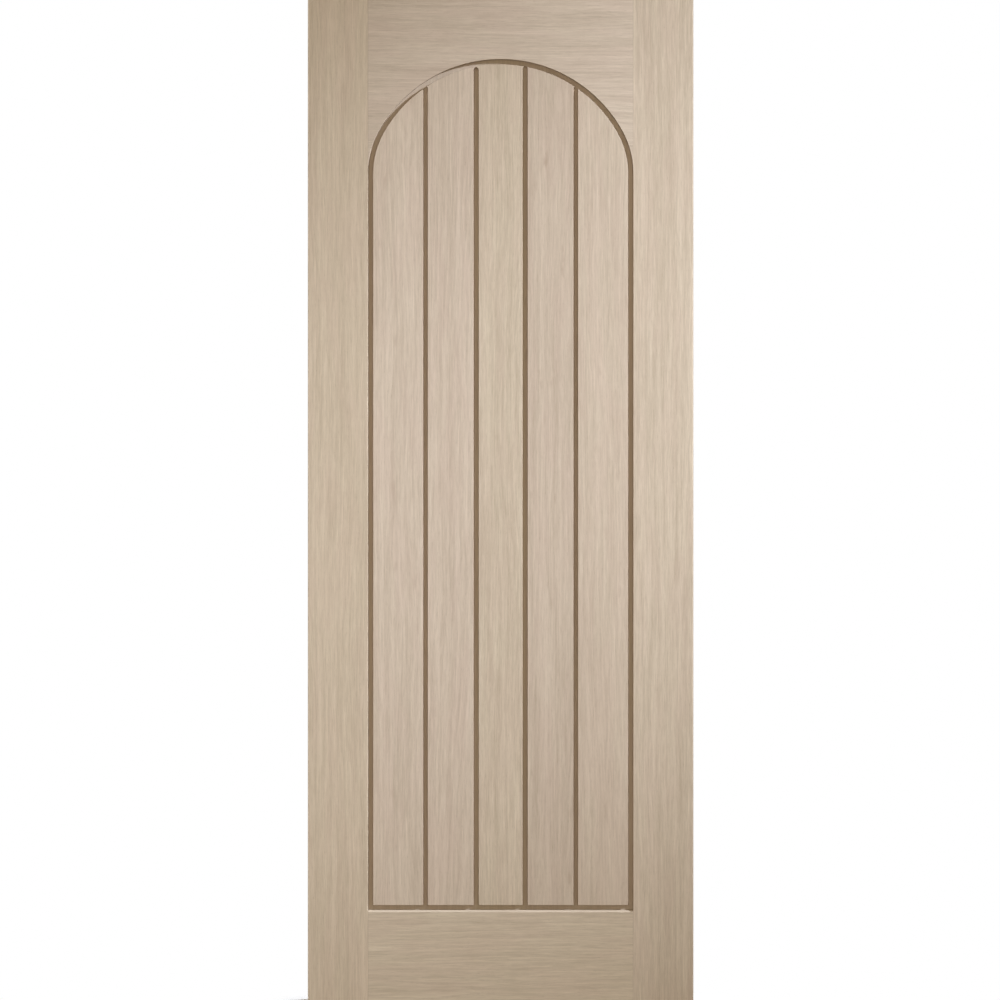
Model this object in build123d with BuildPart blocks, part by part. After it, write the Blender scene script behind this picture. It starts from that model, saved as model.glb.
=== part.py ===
"""Arched interior door leaf: an oak frame of two stiles and two rails round a panel of five
tongued-and-grooved boards, with grooves between the boards and all round the panel.

Units are millimetres. X runs across the leaf, Y through its thickness with the front at -Y,
and Z is up. The origin is the middle of the leaf's bottom edge. Both faces are alike.
"""

import math
import os

from build123d import *

# Leaf: one of the standard sizes for an interior door
leaf_width = 762.0
leaf_height = 1981.0
leaf_thickness = 35.0
leaf_arris = 1.5

# Frame members, as seen on the face
stile_width = 119.0
bottom_rail_height = 180.0
top_rail_at_crown = 119.5

# Opening: straight sides under an arch of three arcs, one crown arc and two haunch arcs
crown_radius = 275.0
haunch_radius = 174.0

# Solid lippings glued along the edges of the cores
outer_lipping = 8.0
inner_lipping = 16.0

# Plough round the inside of the frame, and what sits in it
plough_width = 14.0
plough_depth = 12.0
stub_tongue_length = 11.5
stub_tongue_thickness = 13.8
panel_tongue_length = 10.5
panel_tongue_thickness = 13.6
shoulder_gap = 0.25

# Groove round the panel: the frame's edge, eased by an arris and bevelled along the bottom
# rail, then a flat floor and a steep side up to the boards. The boards' own grooves have a
# steep side each way
groove_depth = 6.0
side_lean = 0.8
perimeter_groove_width = 10.25
arris = 0.5
sill_bevel = 4.0

# Joints between the boards, from left to right: where each is, how wide its groove is, and
# how far under the arch the round end of the groove has its centre
board_joints = [-148.5, -48.4, 48.4, 148.5]
board_groove_widths = [9.5, 10.5, 10.5, 9.5]
groove_stops = [2.5, 6.5, 4.2, 2.0]
board_tongue_length = 8.0
board_tongue_thickness = 10.0
board_mortise_depth = 8.5
board_mortise_width = 10.4

# Dowels that hold the rails to the stiles
dowel_radius = 6.0
dowel_length = 120.0
dowel_end_chamfer = 1.5
dowel_flutes = 12
flute_depth = 0.5
dowel_hole_radius = 6.1
dowel_hole_length = 123.0
top_dowel_heights = [1806.0, 1851.0, 1896.0, 1941.0]
bottom_dowel_heights = [35.0, 85.0, 135.0]

# How far the cutters run past the wood, and where the arch's two thin points are cut blunt
overrun = 1.0
horn_end_above_springing = 14.5

# Worked out from the driving dimensions
leaf_half_width = leaf_width / 2
leaf_face = leaf_thickness / 2
groove_floor = leaf_face - groove_depth
opening_half_width = leaf_half_width - stile_width
core_inside = opening_half_width + inner_lipping
core_outside = leaf_half_width - outer_lipping
plough_floor_z = bottom_rail_height - plough_depth
crown_centre_z = leaf_height - top_rail_at_crown - crown_radius
haunch_centre_x = opening_half_width - haunch_radius
springing_z = crown_centre_z + math.sqrt((crown_radius - haunch_radius) ** 2 - haunch_centre_x**2)
haunch_angle = math.degrees(math.atan2(springing_z - crown_centre_z, haunch_centre_x))
horn_end_z = springing_z + horn_end_above_springing

os.makedirs("parts", exist_ok=True)


def save(part, name):
    """Labels a finished piece and writes it to its own file."""
    part.label = name
    export_step(part, f"parts/{name}.step")


def arched_outline(inset):
    """The opening's outline, moved inwards by inset, drawn with its height along Y."""
    half_width = opening_half_width - inset
    bottom = bottom_rail_height + inset
    haunch = haunch_radius - inset
    with BuildSketch() as outline:
        with BuildLine():
            Polyline(
                (-half_width, springing_z),
                (-half_width, bottom),
                (half_width, bottom),
                (half_width, springing_z),
            )
            CenterArc((haunch_centre_x, springing_z), haunch, 0, haunch_angle)
            CenterArc((0, crown_centre_z), crown_radius - inset, haunch_angle, 180 - 2 * haunch_angle)
            CenterArc((-haunch_centre_x, springing_z), haunch, 180 - haunch_angle, haunch_angle)
        make_face()
    return outline.sketch


def stile_section(side, inside, outside):
    """Section of one strip of a stile, between two distances from the middle of the leaf."""
    with BuildSketch() as section:
        with Locations((side * (inside + outside) / 2, 0)):
            Rectangle(outside - inside, leaf_thickness)
    return section.sketch


def groove_section(joint, width):
    """Section of a board groove on the front face, drawn a little proud of it."""
    floor_half_width = width / 2 - side_lean
    proud_half_width = width / 2 + overrun * side_lean / groove_depth
    with BuildSketch() as section:
        with BuildLine():
            Polyline(
                (joint - floor_half_width, -groove_floor),
                (joint + floor_half_width, -groove_floor),
                (joint + proud_half_width, -leaf_face - overrun),
                (joint - proud_half_width, -leaf_face - overrun),
                close=True,
            )
        make_face()
    return section.sketch


def dowel_section(radius):
    """Section of a dowel: a ridge at the radius, then a shallow flute, and so on round it."""
    corners = []
    for number in range(2 * dowel_flutes):
        angle = number * math.pi / dowel_flutes
        reach = radius - flute_depth * (number % 2)
        corners.append((reach * math.cos(angle), reach * math.sin(angle)))
    with BuildSketch() as section:
        with BuildLine():
            Polyline(corners, close=True)
        make_face()
    return section.sketch


# Cutters that shape the frame, shared by its members

with BuildPart() as opening_cutter:
    with BuildSketch(Plane.XZ):
        add(arched_outline(0))
    extrude(amount=leaf_face + overrun, both=True)

with BuildPart() as plough_cutter:
    with BuildSketch(Plane.XZ):
        add(arched_outline(-plough_depth))
    extrude(amount=plough_width / 2, both=True)

with BuildPart() as arris_cutter:
    with BuildSketch(Plane.XZ.offset(leaf_face - arris)):
        add(arched_outline(0))
    extrude(amount=arris + overrun, taper=-45)
    mirror(about=Plane.XZ)

with BuildPart() as sill_cutter:
    with BuildSketch(Plane.YZ):
        with Locations((-leaf_face, bottom_rail_height), (leaf_face, bottom_rail_height)):
            Rectangle(math.sqrt(2) * sill_bevel, math.sqrt(2) * sill_bevel, rotation=45)
    extrude(amount=opening_half_width, both=True)

with BuildPart() as dowel_holes:
    for side in (-1, 1):
        for height in bottom_dowel_heights + top_dowel_heights:
            with Locations(Location((side * opening_half_width, 0, height), (0, 90, 0))):
                Cylinder(dowel_hole_radius, dowel_hole_length)

# Stiles: a core between an outer lipping and an inner one that is ploughed its whole length

for stile, side in (("left_stile", -1), ("right_stile", 1)):
    with BuildPart() as stile_core:
        extrude(stile_section(side, core_inside, core_outside), amount=leaf_height)
        add(dowel_holes.part, mode=Mode.SUBTRACT)
    save(stile_core.part, f"{stile}_core")

    with BuildPart() as outer_edge:
        extrude(stile_section(side, core_outside, leaf_half_width), amount=leaf_height)
        outermost = outer_edge.faces().sort_by(Axis.X)[0 if side < 0 else -1]
        chamfer(outermost.edges().filter_by(Axis.Z), leaf_arris)
    save(outer_edge.part, f"{stile}_outer_lipping")

    with BuildPart() as inner_edge:
        extrude(stile_section(side, opening_half_width, core_inside), amount=leaf_height)
        with BuildSketch():
            with Locations((side * (opening_half_width + plough_depth / 2), 0)):
                Rectangle(plough_depth, plough_width)
        extrude(amount=leaf_height, mode=Mode.SUBTRACT)
        add(arris_cutter.part, mode=Mode.SUBTRACT)
        add(dowel_holes.part, mode=Mode.SUBTRACT)
    save(inner_edge.part, f"{stile}_inner_lipping")

# Rails: strips between the stiles, with stub tongues that fill the stiles' ploughs. The top
# rail's core carries the arch, which ends in a thin horn beside each stile

with BuildSketch() as rail_section:
    Rectangle(2 * opening_half_width, leaf_thickness)
    Rectangle(2 * (opening_half_width + stub_tongue_length), stub_tongue_thickness)

rail_strips = (
    ("top_rail_core", horn_end_z, leaf_height - outer_lipping),
    ("top_rail_lipping", leaf_height - outer_lipping, leaf_height),
    ("bottom_rail_upper_lipping", bottom_rail_height - inner_lipping, bottom_rail_height),
    ("bottom_rail_core", outer_lipping, bottom_rail_height - inner_lipping),
    ("bottom_rail_lower_lipping", 0, outer_lipping),
)

for name, low, high in rail_strips:
    with BuildPart() as rail_strip:
        with BuildSketch(Plane.XY.offset(low)):
            add(rail_section.sketch)
        extrude(amount=high - low)
        for cutter in (opening_cutter, plough_cutter, arris_cutter, sill_cutter, dowel_holes):
            add(cutter.part, mode=Mode.SUBTRACT)
    save(rail_strip.part, name)

# Panel blank: the boards as one, with a tongue all round that stands on the plough's floor, a
# shoulder that is the floor of the perimeter groove, and a raised field on each face

with BuildPart() as field:
    with BuildSketch(Plane.XZ.offset(groove_floor)):
        add(arched_outline(perimeter_groove_width - side_lean))
    extrude(amount=groove_depth, taper=math.degrees(math.atan2(side_lean, groove_depth)))
    mirror(about=Plane.XZ)

with BuildPart() as panel_blank:
    with BuildSketch(Plane.XZ):
        add(arched_outline(shoulder_gap))
    extrude(amount=groove_floor, both=True)
    with BuildSketch(Plane.XZ):
        add(arched_outline(-panel_tongue_length))
        with Locations((0, plough_floor_z)):
            Rectangle(2 * opening_half_width, plough_depth, align=(Align.CENTER, Align.MIN))
    extrude(amount=panel_tongue_thickness / 2, both=True)
    add(field.part)

# Board grooves: each runs up its joint and ends in the round end that the cutter leaves

with BuildPart() as groove_cutter:
    for joint, width, stop in zip(board_joints, board_groove_widths, groove_stops):
        field_radius = crown_radius - perimeter_groove_width
        stop_z = crown_centre_z + math.sqrt(field_radius**2 - joint**2) - stop
        with BuildSketch(Plane.XY.offset(bottom_rail_height)):
            add(groove_section(joint, width))
        extrude(amount=stop_z - bottom_rail_height)
        with BuildSketch(Plane.XZ.offset(groove_floor)):
            with Locations((joint, stop_z)):
                Circle(width / 2 - side_lean)
        extrude(amount=groove_depth + overrun, taper=-math.degrees(math.atan2(side_lean, groove_depth)))
    mirror(about=Plane.XZ)

# Boards: each is the stretch of the grooved blank between two joints, with a tongue on its
# right edge and a mortise on its left, save where the edge meets a stile

blank_half_width = opening_half_width + panel_tongue_length + overrun
left_edges = [-blank_half_width] + board_joints
right_edges = board_joints + [blank_half_width]

for number, (left, right) in enumerate(zip(left_edges, right_edges), start=1):
    with BuildPart() as board:
        add(panel_blank.part)
        add(groove_cutter.part, mode=Mode.SUBTRACT)
        with BuildSketch():
            with Locations(((left + right) / 2, 0)):
                Rectangle(right - left, leaf_thickness + 2 * overrun)
            if right in board_joints:
                with Locations((right + board_tongue_length / 2, 0)):
                    Rectangle(board_tongue_length, board_tongue_thickness)
            if left in board_joints:
                with Locations((left + board_mortise_depth / 2, 0)):
                    Rectangle(board_mortise_depth, board_mortise_width, mode=Mode.SUBTRACT)
        extrude(amount=leaf_height, mode=Mode.INTERSECT)
    save(board.part, f"panel_board_{number}")

# Dowels: fluted pegs, half in the stile and half in the rail

with BuildPart() as dowel:
    extrude(dowel_section(dowel_radius), amount=dowel_length / 2 - dowel_end_chamfer)
    with BuildSketch(Plane.XY.offset(dowel_length / 2 - dowel_end_chamfer)):
        add(dowel_section(dowel_radius))
    with BuildSketch(Plane.XY.offset(dowel_length / 2)):
        add(dowel_section(dowel_radius - dowel_end_chamfer))
    loft(ruled=True)
    mirror(about=Plane.XY)

for rail, heights in (("top_rail", top_dowel_heights), ("bottom_rail", bottom_dowel_heights)):
    for end, side in (("left", -1), ("right", 1)):
        with BuildPart() as dowels:
            for height in heights:
                with Locations(Location((side * opening_half_width, 0, height), (0, 90, 0))):
                    add(dowel.part)
        save(dowels.part, f"{rail}_{end}_dowels")
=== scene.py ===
"""Arched interior door leaf in bare oak: its finishes, the studio and the camera.

All lengths are in metres. X runs across the leaf, Y through its thickness with the front at -Y,
and Z is up. Every piece's own coordinates are the leaf's, so one grain can run over several.
"""

import math

import bpy
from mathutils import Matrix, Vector


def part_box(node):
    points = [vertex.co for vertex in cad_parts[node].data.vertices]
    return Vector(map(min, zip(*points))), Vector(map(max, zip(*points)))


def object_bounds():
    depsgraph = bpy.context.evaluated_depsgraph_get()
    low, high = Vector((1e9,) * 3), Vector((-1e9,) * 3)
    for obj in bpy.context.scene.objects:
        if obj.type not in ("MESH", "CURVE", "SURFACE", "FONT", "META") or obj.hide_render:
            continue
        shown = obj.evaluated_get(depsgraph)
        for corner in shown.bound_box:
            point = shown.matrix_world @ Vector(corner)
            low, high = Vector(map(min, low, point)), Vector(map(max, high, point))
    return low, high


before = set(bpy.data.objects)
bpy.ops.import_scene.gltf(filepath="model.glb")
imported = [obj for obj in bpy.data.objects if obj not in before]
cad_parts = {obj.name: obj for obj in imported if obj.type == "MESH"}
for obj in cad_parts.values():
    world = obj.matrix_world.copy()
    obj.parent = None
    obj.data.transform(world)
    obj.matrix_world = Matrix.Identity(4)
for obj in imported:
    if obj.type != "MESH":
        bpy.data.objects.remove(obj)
cad_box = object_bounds()

# The leaf, as the frame gives it
leaf_half_width = cad_box[1].x
leaf_face = cad_box[1].y
leaf_height = cad_box[1].z
opening_half_width = abs(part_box("left_stile_inner_lipping")[1].x)

# Growth rings
ring_spacing = 0.0034
ring_unevenness = 0.012  # the most that a ring stands out of its place
uneven_stretch = 0.014  # the distance over which that comes and goes
ring_taper = 0.012  # how far the rings close in for each metre along the plank
ring_wander = 2.0  # how many times the fibres' own wander the rings have
early_wood_fades = (0.10, 0.55)  # shares of a ring
late_wood_rises = (0.70, 1.0)

# Fibres and pores
fibre_sway = 0.022  # how far the fibres stray from straight in long bends
fibre_ripple = 0.006  # and in short ones
pore_width = 0.0005
pore_length = 0.010
end_pore_size = 0.0006
grain_relief = 0.00012

# Laminated cores
core_strip_width = 0.032
strip_tint_step = 7.3  # far enough apart in the noise for each strip to have its own tint
glue_line_rises = (0.485, 0.495)  # distances from a strip's middle, as shares of its width

# Edges, grooves and butt joints
worn_width = 0.0035
# Painted shade and light in the grooves: the walls' painted shade is full at groove_lip, and the painted
# light below the faces at groove_shoulder
groove_lip = 0.0008  # the depth at which a groove's walls have all of their shade
groove_shoulder = 0.003  # the depth at which its floor has all of its own
hairline_fades = (0.0003, 0.0010)  # distances from the joint

# Planed surface
planed_roughness = 0.62
planed_gloss = 0.3

# Shades: factors on the red, green and blue of a plank's own tone
dark_streak = (0.80, 0.775, 0.745)
light_streak = (1.20, 1.215, 1.235)
pink_blush = (1.08, 0.92, 1.02)
open_pore = (0.50, 0.44, 0.38)
ray_fleck = (1.18, 1.20, 1.22)
grey_smudge = (0.80, 0.74, 0.72)
early_end_grain = (0.62, 0.55, 0.48)
late_end_grain = (0.80, 0.74, 0.68)
open_end_pore = (0.34, 0.27, 0.21)
warm_strip = (0.95, 0.84, 0.70)
glue_line = (0.40, 0.33, 0.25)
# Painted light: a lighter tone on all below the faces, which lifts the shadowed floors of the grooves
painted_light_below_faces = (1.05, 1.05, 1.06)
# Painted shade: darkens the walls of the grooves, which the raking lamps light too brightly
groove_wall_painted_shade = (0.50, 0.44, 0.38)
butt_joint = (0.40, 0.33, 0.27)
worn_edge = (1.08, 1.05, 1.00)

# Lamps: large and far off. Two rake the front and the back, and net dims them on the edges
lamp_distance = 9.48
lamp_radius = 0.5
lamp_colour = (0.80, 0.88, 1.0)
rake_off_face = math.radians(18)
rake_elevation = math.radians(30)
net_share_of_way = 0.0015  # how far along the way to its lamp a net hangs
net_lets_through = 0.2

# Surroundings: an even fill, and a floor that fades to white round the leaf
fill_colour = (0.385, 0.327, 0.244, 1.0)
white = (1.0, 1.0, 1.0, 1.0)
floor_colour = (0.82, 0.82, 0.82, 1.0)
floor_half_size = 3.0
fade_width = 0.08
fade_in_front = 0.25  # a distance in front of the leaf counts for this share of itself

# Camera: straight on, with a long lens, a little left of the middle of the leaf
camera_distance = 8.0
camera_height = 0.9905
camera_aside = -0.0012
picture_height = 1.9759
sensor_size = 36.0


class Wire:
    """A socket that works in a Python expression: each operation on it adds a Math node."""

    def __init__(self, nodes, socket):
        self.nodes = nodes
        self.socket = socket

    def __add__(self, other):
        return self.nodes.math("ADD", self, other)

    def __sub__(self, other):
        return self.nodes.math("SUBTRACT", self, other)

    def __rsub__(self, other):
        return self.nodes.math("SUBTRACT", other, self)

    def __mul__(self, other):
        return self.nodes.math("MULTIPLY", self, other)

    def __truediv__(self, other):
        return self.nodes.math("DIVIDE", self, other)

    def __rtruediv__(self, other):
        return self.nodes.math("DIVIDE", other, self)

    def __abs__(self):
        return self.nodes.math("ABSOLUTE", self)

    __radd__ = __add__
    __rmul__ = __mul__


class Nodes:
    """The nodes of one material or world, emptied first and filled by its methods."""

    def __init__(self, owner):
        owner.use_nodes = True
        self.tree = owner.node_tree
        self.tree.nodes.clear()

    def node(self, kind, settings, sockets, output=0):
        """Adds a node, sets it up, fills its sockets with values or wires, and gives one output."""
        made = self.tree.nodes.new(kind)
        for name, value in settings.items():
            setattr(made, name, value)
        for name, value in sockets.items():
            if isinstance(value, Wire):
                self.tree.links.new(value.socket, made.inputs[name])
            else:
                made.inputs[name].default_value = value
        return Wire(self, made.outputs[output]) if made.outputs else None

    def math(self, operation, first, second=0.0):
        return self.node("ShaderNodeMath", {"operation": operation}, {0: first, 1: second})

    def larger(self, first, second):
        return self.math("MAXIMUM", first, second)

    def step_up(self, value, start, end):
        """0 below start, 1 above end, and a smooth rise between them."""
        sockets = {"Value": value, "From Min": start, "From Max": end}
        return self.node("ShaderNodeMapRange", {"interpolation_type": "SMOOTHSTEP"}, sockets)

    def mix(self, amount, below, above):
        """One colour laid over another by an amount from 0 to 1."""
        return self.node("ShaderNodeMix", {"data_type": "RGBA"}, {0: amount, 6: below, 7: above}, output=2)

    def join(self, x, y, z):
        return self.node("ShaderNodeCombineXYZ", {}, {0: x, 1: y, 2: z})

    def split(self, vector):
        return [self.node("ShaderNodeSeparateXYZ", {}, {0: vector}, output=axis) for axis in range(3)]

    def noise(self, place, seed, detail=2.0, roughness=0.5):
        """Noise around 0.5 with features about one unit across."""
        sockets = {"Vector": place, "W": seed, "Scale": 1.0, "Detail": detail, "Roughness": roughness}
        return self.node("ShaderNodeTexNoise", {"noise_dimensions": "4D"}, sockets)


def shaded(tone, factors):
    """A tone with the red, green and blue of its colour each turned up or down by a factor."""
    red, green, blue = [part * factor for part, factor in zip(tone, factors)]
    return (red, green, blue, 1.0)


class Plank(Nodes):
    """Planed bare wood. The growth rings stand round a pith line beside or behind the plank, so
    its faces, edges and ends all cut the same rings."""

    def __init__(
        self, name, tone, seed, pith, upright=True, contrast=1.0, smudges=0.0, joints=(), strip_width=None
    ):
        self.material = bpy.data.materials.new(name)
        super().__init__(self.material)
        self.tone = tone
        self.seed = seed
        self.pith_across, self.pith_behind = pith
        self.contrast = contrast
        self.smudges = smudges
        self.joints = joints
        self.strip_width = strip_width

        place = self.node("ShaderNodeTexCoord", {}, {}, output="Object")
        facing = self.node("ShaderNodeNewGeometry", {}, {}, output="Normal")
        self.x, self.y, self.z = self.split(place)
        facing_x, facing_y, facing_z = self.split(facing)
        self.along, self.across = (self.z, self.x) if upright else (self.x, self.z)
        # 1 where the plank is cut across its grain, and 1 where it faces away from front and back
        self.end = self.step_up(abs(facing_z if upright else facing_x), 0.80, 0.95)
        self.side_wall = 1 - self.step_up(abs(facing_y), 0.35, 0.60)
        sway = self.drawn_out(self.across, width=0.09, length=0.60, offset=0.0, detail=1.0) - 0.5
        ripple = self.drawn_out(self.across, width=0.03, length=0.13, offset=3.1) - 0.5
        self.wander = sway * fibre_sway + ripple * fibre_ripple

    def own_noise(self, place, offset, detail=2.0, roughness=0.5):
        """Noise from the plank's own seed. Each offset gives another."""
        return self.noise(place, self.seed + offset, detail, roughness)

    def drawn_out(self, across, width, length, offset, detail=2.0, roughness=0.5):
        """The same, drawn out straight along the plank, with features this wide and this long."""
        place = self.join(across / width, self.y / width, self.along / length)
        return self.own_noise(place, offset, detail, roughness)

    def grain(self, width, length, offset, detail=2.0, roughness=0.5):
        """The same, drawn out along the plank's wandering fibres."""
        return self.drawn_out(self.across + self.wander, width, length, offset, detail, roughness)

    def lay(self, shade, factors, amount):
        """Lays a shade of the plank's own tone over a colour, by an amount from 0 to 1."""
        return self.mix(amount, shade, shaded(self.tone, factors))

    def growth_rings(self):
        """From 0 in each ring's open early wood up to 1 in its dense late wood."""
        aside = self.across - self.pith_across + self.wander * ring_wander
        behind = self.y - self.pith_behind
        radius = self.math("SQRT", aside * aside + behind * behind) + self.along * ring_taper
        uneven = self.own_noise(self.join(radius / uneven_stretch, 0.0, 0.0), offset=7.7, detail=1.0)
        return self.math("FRACT", (radius + uneven * ring_unevenness) / ring_spacing)

    def face_shade(self, early_wood, late_wood, pores, fibres):
        """Colour of the long grain: streaks between a darker and a lighter oak, pores, flecks."""
        broad = self.grain(width=0.030, length=1.00, offset=11.0) - 0.5
        bands = self.grain(width=0.0095, length=0.35, offset=12.0, roughness=0.6) - 0.5
        streaks = self.grain(width=0.0042, length=0.07, offset=13.0, detail=3.0, roughness=0.6) - 0.5
        lone_streaks = self.step_up(self.grain(width=0.0040, length=0.11, offset=15.0), 0.58, 0.72)
        figure = broad * 0.6 + bands + streaks + (fibres - 0.5) * 0.9 + lone_streaks * 0.25
        figure = figure * self.contrast + late_wood * 0.08 - early_wood * 0.10
        dark = shaded(self.tone, dark_streak)
        light = shaded(self.tone, light_streak)
        shade = self.mix(self.step_up(figure, -1.0, 1.0), dark, light)

        blushes = self.step_up(self.grain(width=0.028, length=0.16, offset=16.0), 0.40, 0.62)
        shade = self.lay(shade, pink_blush, blushes * 0.10)
        shade = self.lay(shade, open_pore, pores * 0.45)
        flecks = self.step_up(self.grain(width=0.0024, length=0.011, offset=23.0), 0.62, 0.74)
        shade = self.lay(shade, ray_fleck, flecks * 0.25)
        if self.smudges:
            smudge_noise = self.grain(width=0.020, length=0.07, offset=29.0, detail=3.0)
            shade = self.lay(shade, grey_smudge, self.step_up(smudge_noise, 0.60, 0.74) * self.smudges)
        return shade

    def end_shade(self, rings, early_wood):
        """Colour of the end grain: the rings cut across, with open pores in their early wood."""
        place = self.join(self.x / end_pore_size, self.y / end_pore_size, self.z / end_pore_size)
        pores = self.step_up(self.own_noise(place, offset=0.0), 0.48, 0.62) * early_wood
        shade = self.mix(rings, shaded(self.tone, early_end_grain), shaded(self.tone, late_end_grain))
        shade = self.lay(shade, open_end_pore, pores * 0.8)
        return self.mark_strips(shade) if self.strip_width else shade

    def mark_strips(self, shade):
        """Gives each strip of a laminated core a tint of its own, and lays a glue line between."""
        strip = self.across / self.strip_width
        tint_place = self.join(self.math("FLOOR", strip) * strip_tint_step, 0.0, 0.0)
        tint = self.own_noise(tint_place, offset=41.0)
        shade = self.lay(shade, warm_strip, self.step_up(tint, 0.3, 0.7) * 0.5)
        from_middle = abs(self.math("FRACT", strip) - 0.5)
        return self.lay(shade, glue_line, self.step_up(from_middle, *glue_line_rises))

    def outer_edges(self):
        """1 on the leaf's four outer edges, and 0 a little way in from them on its faces."""
        side = self.step_up(abs(self.x), leaf_half_width - worn_width, leaf_half_width)
        foot = 1 - self.step_up(self.z, 0.0, worn_width)
        head = self.step_up(self.z, leaf_height - worn_width, leaf_height)
        return self.larger(side, self.larger(foot, head))

    def shade_grooves(self, shade, outer):
        """Lays painted light on all below the faces, which lifts the shadowed groove floors, and painted
        shade on the walls of the grooves.
        """
        depth = leaf_face - abs(self.y)
        sunk = self.step_up(depth, groove_lip, groove_shoulder)
        walls = self.step_up(depth, 0.0, groove_lip) * self.side_wall * (1 - outer)
        # Painted light, which lifts the shadowed floors of the grooves
        shade = self.lay(shade, painted_light_below_faces, sunk * 0.4)
        # Painted shade on the walls of the grooves
        return self.lay(shade, groove_wall_painted_shade, walls * 0.85)

    def mark_joints(self, shade):
        """Lays a hairline at each place across the leaf where the plank butts against another."""
        for place in self.joints:
            hairline = 1 - self.step_up(abs(self.x - place), *hairline_fades)
            shade = self.lay(shade, butt_joint, hairline * 0.35)
        return shade

    def build(self):
        """Puts the wood together, and gives its material."""
        rings = self.growth_rings()
        early_wood = 1 - self.step_up(rings, *early_wood_fades)
        late_wood = self.step_up(rings, *late_wood_rises)
        fibres = self.grain(width=0.0018, length=0.024, offset=17.0, roughness=0.6)
        pores = self.step_up(self.grain(pore_width, pore_length, offset=19.0, detail=1.0), 0.58, 0.72)
        pores = pores * (early_wood * 0.8 + 0.2)
        outer = self.outer_edges()
        rubbed = self.grain(width=0.010, length=0.05, offset=37.0, detail=3.0)
        worn = outer * self.step_up(rubbed, 0.35, 0.65)

        shade = self.face_shade(early_wood, late_wood, pores, fibres)
        shade = self.mix(self.end, shade, self.end_shade(rings, early_wood))
        shade = self.shade_grooves(shade, outer)
        shade = self.mark_joints(shade)
        shade = self.lay(shade, worn_edge, worn * 0.4)

        roughness = planed_roughness + pores * 0.2 - worn * 0.15 + (fibres - 0.5) * 0.12 + self.end * 0.15
        height = fibres * 0.4 + rings * 0.25 - pores
        relief = {"Height": height, "Distance": grain_relief, "Strength": 0.5}
        sockets = {
            "Base Color": shade,
            "Roughness": roughness,
            "Normal": self.node("ShaderNodeBump", {}, relief),
            "Specular IOR Level": planed_gloss,
        }
        shader = self.node("ShaderNodeBsdfPrincipled", {}, sockets)
        self.node("ShaderNodeOutputMaterial", {}, {"Surface": shader})
        return self.material


def dress(material, *names):
    """Gives the material to these pieces of the frame."""
    for name in names:
        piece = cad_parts[name]
        piece.data.materials.clear()
        piece.data.materials.append(material)


# Stiles: one upright grain over each core and its two lippings; the cores' ends are laminated

stiles = {
    "left_stile": dict(tone=(0.617, 0.508, 0.382), seed=2.0, pith=(-0.52, 0.10), contrast=1.2),
    "right_stile": dict(tone=(0.599, 0.495, 0.380), seed=5.0, pith=(0.55, 0.12), contrast=1.35),
}
for stile, oak in stiles.items():
    core_oak = Plank(f"{stile}_core_oak", strip_width=core_strip_width, **oak)
    dress(core_oak.build(), f"{stile}_core")
    lipping_oak = Plank(f"{stile}_lipping_oak", **oak)
    dress(lipping_oak.build(), f"{stile}_inner_lipping", f"{stile}_outer_lipping")

# Rails: level grain, and a fine dark line where they butt against the stiles

rails = {
    "top_rail": dict(tone=(0.602, 0.498, 0.394), seed=9.0, pith=(1.60, 0.13), contrast=1.2),
    "bottom_rail": dict(tone=(0.610, 0.507, 0.384), seed=14.0, pith=(0.02, 0.09), contrast=1.3),
}
rail_strips = {
    "top_rail": ("top_rail_core", "top_rail_lipping"),
    "bottom_rail": ("bottom_rail_core", "bottom_rail_upper_lipping", "bottom_rail_lower_lipping"),
}
rail_ends = (-opening_half_width, opening_half_width)
for rail, oak in rails.items():
    rail_oak = Plank(f"{rail}_oak", upright=False, joints=rail_ends, **oak)
    dress(rail_oak.build(), *rail_strips[rail])

# Boards: each from its own plank, with its own tone, rings and marks

boards = (
    dict(tone=(0.642, 0.531, 0.421), seed=23.0, pith=(-0.36, 0.16), contrast=1.25, smudges=0.4),
    dict(tone=(0.619, 0.508, 0.402), seed=26.0, pith=(-0.02, 0.22), contrast=1.25),
    dict(tone=(0.601, 0.498, 0.378), seed=29.0, pith=(0.16, 0.14), contrast=1.40),
    dict(tone=(0.578, 0.472, 0.369), seed=32.0, pith=(0.24, 0.19), contrast=1.20, smudges=0.8),
    dict(tone=(0.599, 0.493, 0.384), seed=35.0, pith=(0.05, 0.20), contrast=1.15, smudges=0.4),
)
for number, oak in enumerate(boards, start=1):
    board_oak = Plank(f"board_{number}_oak", **oak)
    dress(board_oak.build(), f"panel_board_{number}")

# Dowels: plain beech, with its grain along them

dowel_beech = Plank(
    "dowel_beech", tone=(0.66, 0.48, 0.29), seed=60.0, pith=(0.0, 0.3), upright=False, contrast=0.6
)
dowels = [f"{rail}_{end}_dowels" for rail in rails for end in ("left", "right")]
dress(dowel_beech.build(), *dowels)


def floor_paint():
    """Plain pale paint near the leaf, which holds its shadow, and white further off."""
    material = bpy.data.materials.new("floor_paint")
    nodes = Nodes(material)
    x, y = nodes.split(nodes.node("ShaderNodeTexCoord", {}, {}, output="Object"))[:2]
    aside = nodes.larger(abs(x) - leaf_half_width, 0.0)
    behind = nodes.larger(y - leaf_face, 0.0)
    in_front = nodes.larger(0 - y - leaf_face, 0.0) * fade_in_front
    off_face = nodes.larger(behind, in_front)
    distance = nodes.math("SQRT", aside * aside + off_face * off_face)
    seen = nodes.node("ShaderNodeLightPath", {}, {}, output="Is Camera Ray")
    faded = nodes.step_up(distance, 0.0, fade_width) * seen
    paint = nodes.node("ShaderNodeBsdfDiffuse", {}, {"Color": floor_colour})
    blank = nodes.node("ShaderNodeEmission", {}, {"Color": white, "Strength": 1.0})
    shader = nodes.node("ShaderNodeMixShader", {}, {0: faded, 1: paint, 2: blank})
    nodes.node("ShaderNodeOutputMaterial", {}, {"Surface": shader})
    return material


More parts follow.
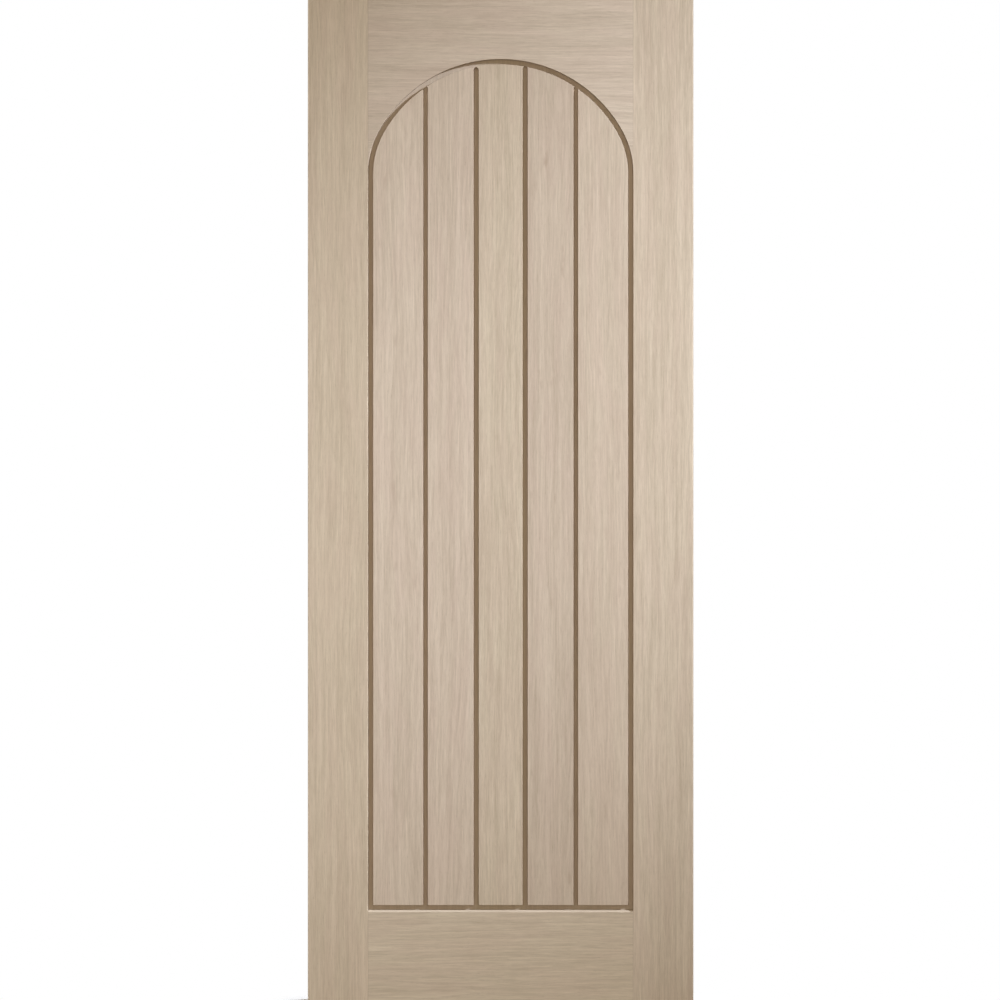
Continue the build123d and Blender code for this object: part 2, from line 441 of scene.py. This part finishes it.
def lay_floor():
    """Lays a floor that the camera alone sees, so that it throws no light up on the leaf."""
    near, far = -floor_half_size, floor_half_size
    mesh = bpy.data.meshes.new("floor")
    corners = [(near, near, 0.0), (far, near, 0.0), (far, far, 0.0), (near, far, 0.0)]
    mesh.from_pydata(corners, [], [(0, 1, 2, 3)])
    mesh.materials.append(floor_paint())
    floor = bpy.data.objects.new("floor", mesh)
    bpy.context.scene.collection.objects.link(floor)
    floor.visible_diffuse = False
    floor.visible_glossy = False
    floor.visible_shadow = False


def light_world():
    """White behind the leaf, and an even warm fill on it."""
    world = bpy.data.worlds.new("studio")
    bpy.context.scene.world = world
    nodes = Nodes(world)
    seen = nodes.node("ShaderNodeLightPath", {}, {}, output="Is Camera Ray")
    mirrored = nodes.node("ShaderNodeLightPath", {}, {}, output="Is Glossy Ray")
    through = nodes.node("ShaderNodeLightPath", {}, {}, output="Is Transmission Ray")
    fill = nodes.node("ShaderNodeBackground", {}, {"Color": fill_colour, "Strength": 1.0})
    blank = nodes.node("ShaderNodeBackground", {}, {"Color": white, "Strength": 1.0})
    backdrop = nodes.larger(seen, nodes.larger(mirrored, through))
    shader = nodes.node("ShaderNodeMixShader", {}, {0: backdrop, 1: fill, 2: blank})
    nodes.node("ShaderNodeOutputWorld", {}, {"Surface": shader})


def hang_lamp(name, aim, towards, cone, power):
    """Hangs a slightly cool spot lamp with a soft rim, far off from its aim the way that towards
    points, and gives its place."""
    lamp = bpy.data.lights.new(name, "SPOT")
    lamp.energy = power
    lamp.color = lamp_colour
    lamp.shadow_soft_size = lamp_radius
    lamp.spot_size = math.radians(cone)
    lamp.spot_blend = 1.0
    stand = bpy.data.objects.new(name, lamp)
    stand.location = Vector(aim) + towards * lamp_distance
    stand.rotation_euler = towards.to_track_quat("Z", "Y").to_euler()
    bpy.context.scene.collection.objects.link(stand)
    return stand.location


def rake(face):
    """The direction of a lamp that rakes the front (-1) or back (1) face from the right and above."""
    flat = math.cos(rake_off_face)
    x, z = flat * math.cos(rake_elevation), flat * math.sin(rake_elevation)
    return Vector((x, face * math.sin(rake_off_face), z))


def net_cloth(name):
    """Fine net, which lets a share of the light straight through."""
    material = bpy.data.materials.new(name)
    nodes = Nodes(material)
    let_through = (net_lets_through, net_lets_through, net_lets_through, 1.0)
    shader = nodes.node("ShaderNodeBsdfTransparent", {}, {"Color": let_through})
    nodes.node("ShaderNodeOutputMaterial", {}, {"Surface": shader})
    return material


def net_edges(name, lamp_place):
    """Hangs net just off the right edge and the head, which a raking lamp meets more squarely than
    it does the face, and would bleach. From the lamp, the net covers them and not the face."""
    left, right = -leaf_half_width, leaf_half_width
    front, back = -leaf_face, leaf_face
    edge = [
        (right, front, 0.0),
        (right, back, 0.0),
        (right, back, leaf_height),
        (right, front, leaf_height),
    ]
    head = [
        (left, front, leaf_height),
        (right, front, leaf_height),
        (right, back, leaf_height),
        (left, back, leaf_height),
    ]
    mesh = bpy.data.meshes.new(name)
    corners = [Vector(corner).lerp(lamp_place, net_share_of_way) for corner in edge + head]
    mesh.from_pydata(corners, [], [(0, 1, 2, 3), (4, 5, 6, 7)])
    mesh.materials.append(net_cloth(f"{name}_cloth"))
    net = bpy.data.objects.new(name, mesh)
    bpy.context.scene.collection.objects.link(net)
    net.visible_camera = False
    net.visible_diffuse = False
    net.visible_glossy = False


def place_camera():
    """Looks straight at the front, so that the leaf fills the picture's height."""
    lens = bpy.data.cameras.new("camera")
    lens.sensor_width = sensor_size
    lens.lens = sensor_size * (camera_distance - leaf_face) / picture_height
    camera = bpy.data.objects.new("camera", lens)
    camera.location = (camera_aside, -camera_distance, camera_height)
    camera.rotation_euler = (math.radians(90), 0.0, 0.0)
    bpy.context.scene.collection.objects.link(camera)
    bpy.context.scene.camera = camera


lay_floor()
light_world()
key_place = hang_lamp("key_lamp", aim=(1.50, 0.0, 1.86), towards=rake(-1), cone=14.96, power=15900.0)
net_edges("key_net", key_place)
back_place = hang_lamp("back_lamp", aim=(0.0, 0.0, 1.2), towards=rake(1), cone=24.0, power=7500.0)
net_edges("back_net", back_place)
leftwards = Vector((-1.0, 0.0, 0.0))
hang_lamp("left_edge_lamp", aim=(0.0, 0.0, 1.0), towards=leftwards, cone=30.0, power=1900.0)
place_camera()
bpy.context.scene.view_settings.view_transform = "Standard"
